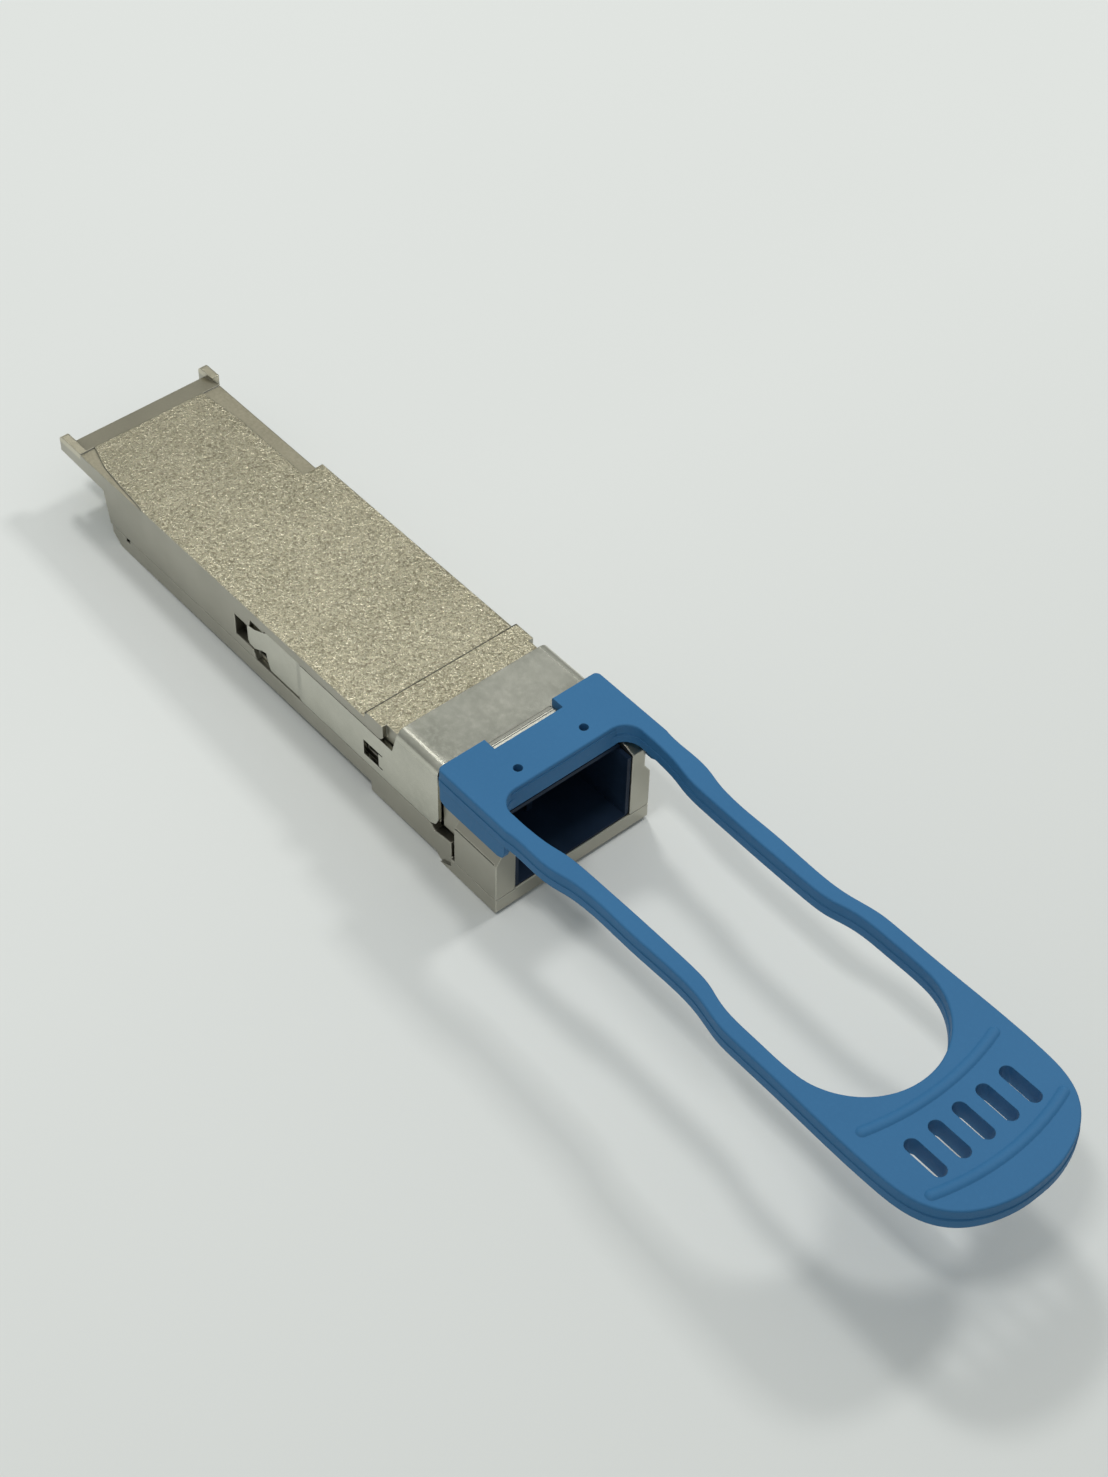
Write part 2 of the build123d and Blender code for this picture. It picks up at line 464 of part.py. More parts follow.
def contact_row(top):
    """Row of gold contact pads on one face of the paddle card."""
    z0 = CARD_Z + CARD_T if top else CARD_Z - PAD_T
    pads = []
    for i in range(PAD_COUNT):
        y = (i - (PAD_COUNT - 1) / 2) * PAD_PITCH
        x0 = X_CARD + (0.45 if i % 4 == 0 else 0.75)
        pads.append(box(x0, X_CARD + 2.5, y - 0.27, y + 0.27, z0, z0 + PAD_T))
    return solids(pads)


def chip(x, y, lx, ly, tall, top=True):
    """Square-edged chip package on the board."""
    z0 = CARD_Z + CARD_T if top else CARD_Z - tall
    return box(x - lx / 2, x + lx / 2, y - ly / 2, y + ly / 2, z0, z0 + tall)


def capacitors():
    """Small chip capacitors scattered in rows on the top of the board."""
    rows = [(-19.8, y) for y in (-4.2, -2.8, -1.4, 0, 1.4, 2.8, 4.2)]
    rows += [(x, y) for x in (-1.6, 0.6, 2.8) for y in (-6.3, -4.6, 4.6, 6.3)]
    rows += [(10.0, y) for y in (-5.6, -4.2, -2.8, 2.8, 4.2, 5.6)]
    return solids([chip(x, y, 1.0, 0.5, 0.5) for x, y in rows])


def inductors():
    """Power inductors on the underside of the board."""
    return solids([chip(x, y, 2.5, 2.2, 1.3, False) for x, y in ((-13.0, 0), (-9.0, -3.4), (-9.0, 3.4))])


def port_insert():
    """Black liner of the fibre port with a rear wall, a low divider and two sleeve bosses."""
    x0, x1 = INSERT_X
    z0, z1 = INSERT_Z
    wide = PORT_Y - 0.08
    body = box(x0 + 1.4, x1, -wide, wide, z0, z1)
    body = chamfer(body.edges().filter_by(Axis.X), 0.25)
    body -= box(31.0, x1 + 1, -wide + LINER, wide - LINER, z0 + LINER_FLOOR, z1 - LINER)
    body -= box(X_BAR - 0.05, x1 + 1, -wide - 1, wide + 1, 8.2, z1 + 1)
    body += box(30.9, 34.6, -0.35, 0.35, z0 + 0.2, z1 - 0.2)
    for y in (-FERRULE_Y, FERRULE_Y):
        body += rod(30.9, 33.6, y, FERRULE_Z, SLEEVE_R + 0.55)
        body -= rod(x0, 34, y, FERRULE_Z, SLEEVE_R + 0.02)
    return body


def ferrule_sleeve(side):
    """Ceramic sleeve that aligns a fibre ferrule."""
    sleeve = rod(X_SLEEVE[0] + 0.9, X_SLEEVE[1], side * FERRULE_Y, FERRULE_Z, SLEEVE_R)
    return sleeve - rod(X_SLEEVE[0], X_SLEEVE[1] + 1, side * FERRULE_Y, FERRULE_Z, FERRULE_R)


def optical_engine(side):
    """Sealed metal optical sub-assembly behind one sleeve."""
    y = side * FERRULE_Y
    engine = box(21.0, 26.4, y - 2.75, y + 2.75, 1.7, 6.9)
    engine = fillet(engine.edges().filter_by(Axis.X), 0.4)
    engine += rod(26.2, 28.1, y, FERRULE_Z, 1.5)
    return engine


def flex_circuit(side):
    """Flexible circuit from an optical sub-assembly to the top of the board."""
    y = side * FERRULE_Y
    t = 0.12
    z = CARD_Z + CARD_T + 0.02
    pts = [(17.0, z), (20.3, z), (20.75, z - 0.4), (20.75, 4.2), (20.95, 4.0), (20.95, 4.0 + 0.9),
           (20.87, 5.4), (20.35, z + t), (17.0, z + t)]
    return prism_y(pts, y - 1.35, y + 1.35)


def build():
    """Make every node of the module."""
    x, half, tall = PROCESSOR
    top = CARD_Z + CARD_T
    return {
        "upper_shell": round_horns(upper_shell()),
        "lower_shell": lower_shell(),
        "shell_screws": solids([screw(x, y) for x, y in SCREWS]),
        "seam_gaskets": solids([seam_gasket(1), seam_gasket(-1)]),
        "underside_label": label_plate(),
        "latch_slider": latch_slider(),
        "pull_tab": pull_tab(),
        "return_spring_left": return_spring(1),
        "return_spring_right": return_spring(-1),
        "circuit_board": circuit_board(),
        "contacts_top": contact_row(True),
        "contacts_bottom": contact_row(False),
        "signal_processor": chip(x, 0, 2 * half, 2 * half, tall),
        "processor_thermal_pad": box(x - half, x + half, -half, half, top + tall, top + tall + 0.15),
        "laser_driver": chip(CHIP_X, CHIP_Y, 3.4, 4.0, 0.8),
        "receiver_amplifier": chip(CHIP_X, -CHIP_Y, 3.0, 3.6, 0.8),
        "controller": chip(2.0, 0, 5.0, 5.0, 0.9, False),
        "memory_chip": chip(1.0, 0, 3.0, 4.4, 0.9),
        "power_inductors": inductors(),
        "capacitors": capacitors(),
        "port_insert": port_insert(),
        "ferrule_sleeve_left": ferrule_sleeve(1),
        "ferrule_sleeve_right": ferrule_sleeve(-1),
        "transmit_optics": optical_engine(1),
        "receive_optics": optical_engine(-1),
        "transmit_flex": flex_circuit(1),
        "receive_flex": flex_circuit(-1),
        "optics_thermal_pad": box(21.4, 26.2, -5.6, 5.6, FLOOR_Z, 1.7),
    }


os.makedirs("parts", exist_ok=True)
for name, shape in build().items():
    export_step(shape, os.path.join("parts", name + ".step"))
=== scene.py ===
import math

import bpy
from mathutils import Matrix, Vector


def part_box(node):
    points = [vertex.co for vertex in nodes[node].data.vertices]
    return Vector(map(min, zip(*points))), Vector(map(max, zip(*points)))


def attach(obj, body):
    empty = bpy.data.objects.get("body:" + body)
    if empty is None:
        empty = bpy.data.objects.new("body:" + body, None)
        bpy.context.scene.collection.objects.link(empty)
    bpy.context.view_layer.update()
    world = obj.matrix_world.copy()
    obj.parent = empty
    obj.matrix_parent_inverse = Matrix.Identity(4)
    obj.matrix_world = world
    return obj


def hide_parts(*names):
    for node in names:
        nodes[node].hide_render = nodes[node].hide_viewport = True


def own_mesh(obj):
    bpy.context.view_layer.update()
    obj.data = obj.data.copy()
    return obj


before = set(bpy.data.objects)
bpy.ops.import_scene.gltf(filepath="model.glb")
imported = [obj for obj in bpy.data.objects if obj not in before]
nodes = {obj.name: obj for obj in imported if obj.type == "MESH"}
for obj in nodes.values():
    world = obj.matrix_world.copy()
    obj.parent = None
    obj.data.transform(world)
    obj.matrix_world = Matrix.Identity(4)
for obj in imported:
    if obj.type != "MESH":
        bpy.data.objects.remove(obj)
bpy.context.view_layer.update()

MM = 0.001
PAD_PITCH = 0.8 * MM        # pitch of the edge contacts on the card
BALL_PITCH = 0.8 * MM       # pitch of the solder balls under the processor
BALL_COUNT = 13             # balls along each side of that grid
LEAD_MARGIN = 0.5 * MM      # room for the leads round a case
SPRING_WIRE = 0.22 * MM
SPRING_TURNS = 10


# ---------------------------------------------------------------- camera, floor and light

FLOOR_TILT = math.radians(1.956)    # the stepped nose base and the heel of the body both touch the floor
NOSE_REST = (32.5 * MM, 0, -1.8 * MM)


def add_camera():
    """Place the camera above the front right corner, looking down along the body."""
    data = bpy.data.cameras.new("camera")
    data.lens = 64.85
    data.clip_start = 0.01
    camera = bpy.data.objects.new("camera", data)
    bpy.context.scene.collection.objects.link(camera)
    camera.location = (0.15970, -0.10819, 0.19155)
    camera.rotation_euler = [math.radians(a) for a in (42.3894, -1.0682, 49.5664)]
    bpy.context.scene.camera = camera


def add_floor():
    """Lay a wide pale table top under the two lines the module rests on."""
    bpy.ops.mesh.primitive_plane_add(size=6, location=NOSE_REST, rotation=(0, FLOOR_TILT, 0))
    floor = bpy.context.object
    floor.name = "table_top"
    bpy.ops.object.transform_apply(location=True, rotation=True, scale=True)
    floor.data.materials.append(table_paint())


def add_lamp(name, azimuth, elevation, distance, size, power, colour, glossy=True):
    """Hang a soft rectangular ceiling lamp that faces the module."""
    data = bpy.data.lights.new(name, "AREA")
    data.shape = "RECTANGLE"
    data.size, data.size_y = size
    data.energy = power
    data.color = colour
    lamp = bpy.data.objects.new(name, data)
    bpy.context.scene.collection.objects.link(lamp)
    a, e = math.radians(azimuth), math.radians(elevation)
    aim = Vector((0.05, 0, 0.005))
    away = Vector((math.cos(a) * math.cos(e), math.sin(a) * math.cos(e), math.sin(e)))
    lamp.location = aim + away * distance
    lamp.rotation_euler = away.to_track_quat("Z", "Y").to_euler()
    lamp.visible_glossy = glossy


def light_room():
    """Three ceiling lamps throw the crossed shadows of the tab; the pale room fills the rest."""
    warm = (1.0, 0.99, 0.965)
    add_lamp("lamp_left", 90, 47, 1.0, (0.14, 0.14), 2.05, warm)
    add_lamp("lamp_rear", 158, 56, 1.0, (0.16, 0.16), 1.7, warm, glossy=False)
    add_lamp("lamp_glint", 158, 56, 1.0, (0.10, 0.10), 0.8, warm)
    add_lamp("lamp_right", 270, 70, 1.6, (0.3, 0.16), 5.0, warm)
    world = bpy.data.worlds.new("room")
    bpy.context.scene.world = world
    world.use_nodes = True
    tree = world.node_tree
    tree.nodes.clear()
    place = tree.nodes.new("ShaderNodeTexCoord")
    split = tree.nodes.new("ShaderNodeSeparateXYZ")
    ramp = tree.nodes.new("ShaderNodeValToRGB")
    light = tree.nodes.new("ShaderNodeBackground")
    out = tree.nodes.new("ShaderNodeOutputWorld")
    ramp.color_ramp.elements[0].position = 0.0
    ramp.color_ramp.elements[0].color = (0.42, 0.43, 0.42, 1)
    ramp.color_ramp.elements[1].position = 0.75
    ramp.color_ramp.elements[1].color = (0.86, 0.90, 0.88, 1)
    light.inputs["Strength"].default_value = 0.50
    tree.links.new(place.outputs["Generated"], split.inputs[0])
    tree.links.new(split.outputs["Z"], ramp.inputs["Fac"])
    tree.links.new(ramp.outputs["Color"], light.inputs["Color"])
    tree.links.new(light.outputs[0], out.inputs["Surface"])
    bpy.context.scene.view_settings.view_transform = "Standard"


# ---------------------------------------------------------------- material helpers

class Finish:
    """A node material that is built up one step at a time on Object coordinates."""

    def __init__(self, name):
        self.material = bpy.data.materials.new(name)
        self.material.use_nodes = True
        self.tree = self.material.node_tree
        self.tree.nodes.clear()
        self.out = self.tree.nodes.new("ShaderNodeOutputMaterial")
        self.shader = self.tree.nodes.new("ShaderNodeBsdfPrincipled")
        self.link(self.shader.outputs[0], self.out.inputs["Surface"])
        self.coordinates = self.tree.nodes.new("ShaderNodeTexCoord")
        self.place = self.coordinates.outputs["Object"]

    def link(self, a, b):
        self.tree.links.new(a, b)

    def set(self, **values):
        """Set plain shader sockets; an underscore stands for a space."""
        for name, value in values.items():
            self.shader.inputs[name.replace("_", " ")].default_value = value

    def stretch(self, x, y, z):
        """Object coordinates scaled along the three axes."""
        node = self.tree.nodes.new("ShaderNodeMapping")
        node.inputs["Scale"].default_value = (x, y, z)
        self.link(self.place, node.inputs["Vector"])
        return node.outputs[0]

    def noise(self, scale, detail=2.0, rough=0.5, where=None):
        node = self.tree.nodes.new("ShaderNodeTexNoise")
        node.inputs["Scale"].default_value = scale
        node.inputs["Detail"].default_value = detail
        node.inputs["Roughness"].default_value = rough
        self.link(where or self.place, node.inputs["Vector"])
        return node.outputs["Fac"]

    def ramp(self, value, low, high, a=0.0, b=1.0):
        """Map low..high to a..b with clamped ends."""
        node = self.tree.nodes.new("ShaderNodeMapRange")
        node.inputs["From Min"].default_value = low
        node.inputs["From Max"].default_value = high
        node.inputs["To Min"].default_value = a
        node.inputs["To Max"].default_value = b
        self.link(value, node.inputs["Value"])
        return node.outputs[0]

    def work(self, operation, a, b):
        """One step of arithmetic on two numbers or sockets."""
        node = self.tree.nodes.new("ShaderNodeMath")
        node.operation = operation
        for socket, value in zip(node.inputs, (a, b)):
            if isinstance(value, (int, float)):
                socket.default_value = value
            else:
                self.link(value, socket)
        return node.outputs[0]

    def blend(self, share, a, b, mode="MIX"):
        """Mix two colours; each is a colour tuple or a socket."""
        node = self.tree.nodes.new("ShaderNodeMix")
        node.data_type = "RGBA"
        node.blend_type = mode
        if isinstance(share, (int, float)):
            node.inputs[0].default_value = share
        else:
            self.link(share, node.inputs[0])
        for socket, value in ((node.inputs[6], a), (node.inputs[7], b)):
            if isinstance(value, tuple):
                socket.default_value = (*value, 1)
            else:
                self.link(value, socket)
        return node.outputs[2]

    def bump(self, height, distance, strength=1.0, onto=None):
        node = self.tree.nodes.new("ShaderNodeBump")
        node.inputs["Distance"].default_value = distance
        if isinstance(strength, (int, float)):
            node.inputs["Strength"].default_value = strength
        else:
            self.link(strength, node.inputs["Strength"])
        self.link(height, node.inputs["Height"])
        if onto is not None:
            self.link(onto, node.inputs["Normal"])
        return node.outputs[0]

    def soft_edges(self, radius):
        """Normals rounded over sharp edges by a small radius."""
        node = self.tree.nodes.new("ShaderNodeBevel")
        node.samples = 4
        node.inputs["Radius"].default_value = radius
        return node.outputs[0]

    def edge_wear_and_highlight(self, rounded):
        """1 along sharp edges and 0 on flats; used to paint edge wear together with painted edge highlights.
        """
        geometry = self.tree.nodes.new("ShaderNodeNewGeometry")
        dot = self.tree.nodes.new("ShaderNodeVectorMath")
        dot.operation = "DOT_PRODUCT"
        self.link(rounded, dot.inputs[0])
        self.link(geometry.outputs["Normal"], dot.inputs[1])
        return self.ramp(dot.outputs["Value"], 0.995, 0.86)

    def crevice_shade(self, reach, low=0.15, high=0.85):
        """0 deep in gaps and corners and 1 in the open; used to paint shade into colour."""
        node = self.tree.nodes.new("ShaderNodeAmbientOcclusion")
        node.samples = 6
        node.only_local = True
        node.inputs["Distance"].default_value = reach
        return self.ramp(node.outputs["AO"], low, high)

    def along(self, axis, source=None):
        """One coordinate of the place on the piece, or of another vector."""
        split = self.tree.nodes.new("ShaderNodeSeparateXYZ")
        self.link(source or self.place, split.inputs[0])
        return split.outputs[axis]

    def height_mask(self, low, high):
        """1 above a height given in millimetres."""
        return self.ramp(self.along("Z"), low * MM, high * MM)

    def length_mask(self, low, high):
        """1 forward of a station given in millimetres."""
        return self.ramp(self.along("X"), low * MM, high * MM)

    def width_mask(self, low, high):
        """1 outboard of a distance from the centre plane, given in millimetres."""
        return self.ramp(self.work("ABSOLUTE", self.along("Y"), 0), low * MM, high * MM)

    def facing_up(self, low, high):
        """1 where a face looks straight up and 0 where it slopes."""
        return self.ramp(self.along("Z", self.coordinates.outputs["Normal"]), low, high)

    def mix(self, share, a, b):
        """Mix two plain values."""
        node = self.tree.nodes.new("ShaderNodeMix")
        self.link(share, node.inputs[0])
        self.link(a, node.inputs[2])
        self.link(b, node.inputs[3])
        return node.outputs[0]

    def finish(self, colour=None, roughness=None, normal=None):
        for name, value in (("Base Color", colour), ("Roughness", roughness), ("Normal", normal)):
            if value is not None:
                self.link(value, self.shader.inputs[name])
        return self.material


# ---------------------------------------------------------------- finishes

def table_paint():
    """Pale painted table, faintly mottled and darkened towards +X as painted shade, see-through from below.
    """
    f = Finish("table_paint")
    f.set(Roughness=0.55, Specular_IOR_Level=0.25)
    cloud = f.noise(6.0, 3.0)
    pale = f.blend(f.ramp(cloud, 0.3, 0.7), (0.755, 0.775, 0.765), (0.78, 0.80, 0.79))
    # painted shade: the table colour darkens from x = 0 to 150 mm
    colour = f.blend(f.length_mask(0.0, 150.0), pale, (0.66, 0.68, 0.67))
    grain = f.noise(900.0, 2.0)
    f.finish(colour, None, f.bump(grain, 0.00002, 0.3))
    geometry = f.tree.nodes.new("ShaderNodeNewGeometry")
    clear = f.tree.nodes.new("ShaderNodeBsdfTransparent")
    mix = f.tree.nodes.new("ShaderNodeMixShader")
    f.link(geometry.outputs["Backfacing"], mix.inputs[0])
    f.link(f.shader.outputs[0], mix.inputs[1])
    f.link(clear.outputs[0], mix.inputs[2])
    f.link(mix.outputs[0], f.out.inputs["Surface"])
    return f.material


def blasted_nickel():
    """Nickel-plated die casting: grainy blasted top face with smoother rims, satin grey sides."""
    f = Finish("blasted_nickel")
    f.set(Metallic=1.0)
    rounded = f.soft_edges(0.2 * MM)
    roof = f.work("MULTIPLY", f.facing_up(0.85, 0.93), f.height_mask(6.8, 7.0))
    field = f.work("MULTIPLY", f.facing_up(0.985, 0.995), f.height_mask(8.40, 8.45))
    field = f.work("MULTIPLY", field, f.length_mask(-26.5, -26.1))
    grain = f.noise(2900.0, 2.0, 0.7)
    fleck_and_glint = f.noise(5200.0, 1.0, 0.5)
    cloud = f.noise(110.0, 3.0, 0.6)
    dark = f.blend(f.ramp(cloud, 0.35, 0.65), (0.27, 0.243, 0.166), (0.33, 0.297, 0.21))
    bright = f.blend(f.ramp(cloud, 0.35, 0.65), (0.69, 0.635, 0.46), (0.77, 0.71, 0.52))
    grain_colour = f.blend(f.ramp(grain, 0.36, 0.62), dark, bright)
    # painted highlight: bright flecks over the real grain stand in for glints on the blasted face
    grain_colour = f.blend(f.ramp(fleck_and_glint, 0.58, 0.70, 0.0, 0.8), grain_colour, (0.97, 0.92, 0.74))
    # painted shade: the grainy field is painted darker towards the rear
    painted_rear_shade = f.work("SUBTRACT", 1.0, f.length_mask(-29.0, -4.0))
    grain_colour = f.blend(f.work("MULTIPLY", painted_rear_shade, 0.3), grain_colour, (0.25, 0.225, 0.155))
    rim_colour = f.blend(f.ramp(grain, 0.3, 0.7), (0.41, 0.375, 0.275), (0.50, 0.46, 0.345))
    smooth_colour = f.blend(f.ramp(cloud, 0.3, 0.7), (0.40, 0.385, 0.325), (0.46, 0.445, 0.38))
    colour = f.blend(roof, smooth_colour, rim_colour)
    colour = f.blend(field, colour, grain_colour)
    # painted highlight with wear: sharp edges of the casting are painted pale
    colour = f.blend(f.work("MULTIPLY", f.edge_wear_and_highlight(rounded), 0.55), colour, (0.86, 0.83, 0.72))
    # painted light: the rear ramp is painted warm like the field and lighter, making up for its slope away
    # from the lamps
    ramp_painted_light = f.work("SUBTRACT", 1.0, f.length_mask(-26.5, -26.3))
    ramp_painted_light = f.work("MULTIPLY", ramp_painted_light, f.height_mask(7.6, 7.9))
    colour = f.blend(f.work("MULTIPLY", ramp_painted_light, 0.6), colour, (0.70, 0.65, 0.50))
    # painted shade: a near-black line along the rear top edge of the raised band
    band_edge_shade = f.work("MULTIPLY", f.length_mask(21.3, 21.38), f.height_mask(9.13, 9.17))
    band_edge_shade = f.work("MULTIPLY", band_edge_shade, f.work("SUBTRACT", 1.0, f.length_mask(21.66, 21.74)))
    colour = f.blend(f.work("MULTIPLY", band_edge_shade, 0.95), colour, (0.03, 0.027, 0.02))
    # painted shade: gaps and corners of the casting are painted near black
    colour = f.blend(f.crevice_shade(1.3 * MM), (0.02, 0.02, 0.018), colour)
    smooth_rough = f.ramp(f.noise(260.0, 3.0), 0.3, 0.7, 0.28, 0.38)
    roughness = f.mix(field, smooth_rough, f.ramp(grain, 0.35, 0.65, 0.42, 0.24))
    ripple = f.bump(f.noise(420.0, 2.0), 0.00002, 0.3, rounded)
    height = f.work("ADD", grain, f.work("MULTIPLY", fleck_and_glint, 0.5))
    share = f.work("ADD", f.work("MULTIPLY", field, 0.75), f.work("MULTIPLY", roof, 0.12))
    return f.finish(colour, roughness, f.bump(height, 0.0001, share, ripple))


def rolled_sheet():
    """Cold-rolled sheet with a satin tumbled face, rougher bends and a hem painted pale as a painted
    highlight.
    """
    f = Finish("rolled_sheet")
    f.set(Metallic=1.0)
    rounded = f.soft_edges(0.08 * MM)
    streak = f.noise(220.0, 4.0, 0.6, f.stretch(0.5, 1.6, 1.6))
    tumble = f.noise(1500.0, 3.0, 0.65)
    cloud = f.noise(120.0, 3.0, 0.6)
    colour = f.blend(f.ramp(cloud, 0.3, 0.7), (0.52, 0.515, 0.44), (0.65, 0.64, 0.555))
    colour = f.blend(f.ramp(streak, 0.45, 0.7, 0.0, 0.3), colour, (0.70, 0.69, 0.61))
    colour = f.blend(f.ramp(tumble, 0.45, 0.7, 0.0, 0.3), colour, (0.74, 0.73, 0.64))
    # painted highlight with wear: sharp edges of the sheet are painted pale
    colour = f.blend(f.work("MULTIPLY", f.edge_wear_and_highlight(rounded), 0.6), colour, (0.92, 0.91, 0.84))
    # painted highlight: the rolled hem is painted near white
    hem_highlight = f.height_mask(10.68, 10.75)
    colour = f.blend(f.work("MULTIPLY", hem_highlight, 0.7), colour, (0.95, 0.93, 0.82))
    # painted shade: gaps and corners of the sheet are painted near black
    colour = f.blend(f.crevice_shade(1.0 * MM), (0.02, 0.02, 0.018), colour)
    satin = f.work("ADD", f.ramp(tumble, 0.3, 0.7, 0.14, 0.20), f.ramp(cloud, 0.35, 0.65, 0.0, 0.05))
    worked = f.work("MULTIPLY", f.width_mask(7.7, 8.3), f.height_mask(9.2, 9.6))
    worked = f.work("MAXIMUM", worked, hem_highlight)
    roughness = f.mix(worked, satin, f.ramp(tumble, 0.3, 0.7, 0.28, 0.34))
    height = f.work("ADD", tumble, f.work("MULTIPLY", streak, 0.6))
    return f.finish(colour, roughness, f.bump(height, 0.00001, 0.5, rounded))


def blue_polymer():
    """Matt moulded polymer with a fine spark-eroded grain."""
    f = Finish("blue_polymer")
    f.set(Specular_IOR_Level=0.27)
    rounded = f.soft_edges(0.12 * MM)
    cloud = f.noise(55.0, 3.0)
    grain = f.noise(2400.0, 2.0, 0.6)
    colour = f.blend(f.ramp(cloud, 0.3, 0.7), (0.030, 0.143, 0.31), (0.036, 0.160, 0.34))
    colour = f.blend(f.ramp(grain, 0.45, 0.75, 0.0, 0.08), colour, (0.10, 0.25, 0.46))
    # painted highlight with wear: sharp edges of the tab are painted light blue
    colour = f.blend(f.work("MULTIPLY", f.edge_wear_and_highlight(rounded), 0.12), colour, (0.10, 0.26, 0.48))
    # painted shade: gaps and corners of the tab are painted dark blue
    colour = f.blend(f.crevice_shade(0.8 * MM, 0.0, 0.5), (0.012, 0.05, 0.11), colour)
    roughness = f.ramp(grain, 0.3, 0.7, 0.52, 0.64)
    return f.finish(colour, roughness, f.bump(grain, 0.00002, 0.5, rounded))


def black_liner():
    """Near-black glass-filled plastic, tinted navy as painted reflection."""
    f = Finish("black_liner")
    f.set(Specular_IOR_Level=0.12)
    cloud = f.noise(260.0, 3.0)
    # painted reflection: the near-black is tinted navy
    colour = f.blend(f.ramp(cloud, 0.3, 0.7), (0.010, 0.021, 0.042), (0.016, 0.031, 0.060))
    grain = f.noise(1800.0, 2.0)
    return f.finish(colour, f.ramp(grain, 0.3, 0.7, 0.38, 0.5), f.bump(grain, 0.00001, 0.4))


def solder_mask():
    """Green mask over fine copper tracks that run back from the edge contacts."""
    f = Finish("solder_mask")
    cloud = f.noise(210.0, 3.0)
    base = f.blend(f.ramp(cloud, 0.3, 0.7), (0.012, 0.085, 0.035), (0.018, 0.12, 0.05))
    pitch = f.work("ADD", f.work("DIVIDE", f.along("Y"), PAD_PITCH), 50.5)
    offset = f.work("SUBTRACT", f.work("FRACT", pitch, 0), 0.5)
    track = f.ramp(f.work("ABSOLUTE", offset, 0), 0.16, 0.12)
    behind = f.work("SUBTRACT", 1.0, f.length_mask(-16.2, -16.0))
    track = f.work("MULTIPLY", track, behind)
    colour = f.blend(track, base, (0.035, 0.20, 0.085))
    weave = f.noise(700.0, 3.0)
    height = f.work("ADD", weave, track)
    return f.finish(colour, f.ramp(weave, 0.3, 0.7, 0.3, 0.4), f.bump(height, 0.00001, 0.5))


def plain_finish(name, low, high, rough, metallic=0.0, scale=700.0, bump=0.00001):
    """A finish with mottled colour, varied roughness and a fine grain."""
    f = Finish(name)
    f.set(Metallic=metallic)
    cloud = f.noise(scale * 0.3, 3.0)
    grain = f.noise(scale, 3.0)
    colour = f.blend(f.ramp(cloud, 0.3, 0.7), low, high)
    return f.finish(colour, f.ramp(grain, 0.3, 0.7, rough[0], rough[1]), f.bump(grain, bump, 0.4))


# ---------------------------------------------------------------- hand-made small parts

def block(name, low, high):
    """Start a piece from a block between two corners."""
    bpy.ops.object.select_all(action="DESELECT")
    bpy.ops.mesh.primitive_cube_add(size=1, location=(Vector(low) + Vector(high)) / 2)
    piece = bpy.context.object
    piece.name = name
    piece.scale = Vector(high) - Vector(low)
    bpy.ops.object.transform_apply(location=True, rotation=True, scale=True)
    return piece


def edit(piece):
    """Open one piece in edit mode with nothing selected."""
    bpy.ops.object.select_all(action="DESELECT")
    piece.select_set(True)
    bpy.context.view_layer.objects.active = piece
    bpy.ops.object.mode_set(mode="EDIT")
    bpy.ops.mesh.select_mode(type="FACE")
    bpy.ops.mesh.select_all(action="DESELECT")


def close():
    """Leave edit mode."""
    bpy.ops.object.mode_set(mode="OBJECT")


def pick_facing(piece, axis, sign):
    """Select the faces that look along one axis."""
    bpy.ops.mesh.select_all(action="DESELECT")
    bpy.ops.object.mode_set(mode="OBJECT")
    for face in piece.data.polygons:
        face.select = face.normal[axis] * sign > 0.9
    bpy.ops.object.mode_set(mode="EDIT")


def soften(piece, width, segments=2):
    """Bevel every edge and apply it."""
    bpy.context.view_layer.objects.active = piece
    bevel = piece.modifiers.new("edges", "BEVEL")
    bevel.width = width
    bevel.segments = segments
    bpy.ops.object.modifier_apply(modifier="edges")


def gather(name, pieces):
    """Join several pieces in one."""
    bpy.ops.object.select_all(action="DESELECT")
    for piece in pieces:
        piece.select_set(True)
    bpy.context.view_layer.objects.active = pieces[0]
    if len(pieces) > 1:
        bpy.ops.object.join()
    joined = bpy.context.object
    joined.name = name
    return joined


def shifted_copy(piece, step):
    """A copy with its own mesh, moved by one step."""
    copy = piece.copy()
    copy.data = piece.data.copy()
    copy.data.transform(Matrix.Translation(step))
    bpy.context.scene.collection.objects.link(copy)
    return copy


def smooth(piece, degrees):
    """Shade a piece smooth, except over sharp edges."""
    bpy.ops.object.select_all(action="DESELECT")
    piece.select_set(True)
    bpy.context.view_layer.objects.active = piece
    bpy.ops.object.shade_smooth_by_angle(angle=math.radians(degrees))


def settle(piece, slot, *stands_for):
    """Give a piece its finish and its body."""
    piece.data.materials.clear()
    piece.data.materials.append(FINISHES[slot])
    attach(piece, "module")
    if stands_for:
        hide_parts(*stands_for)


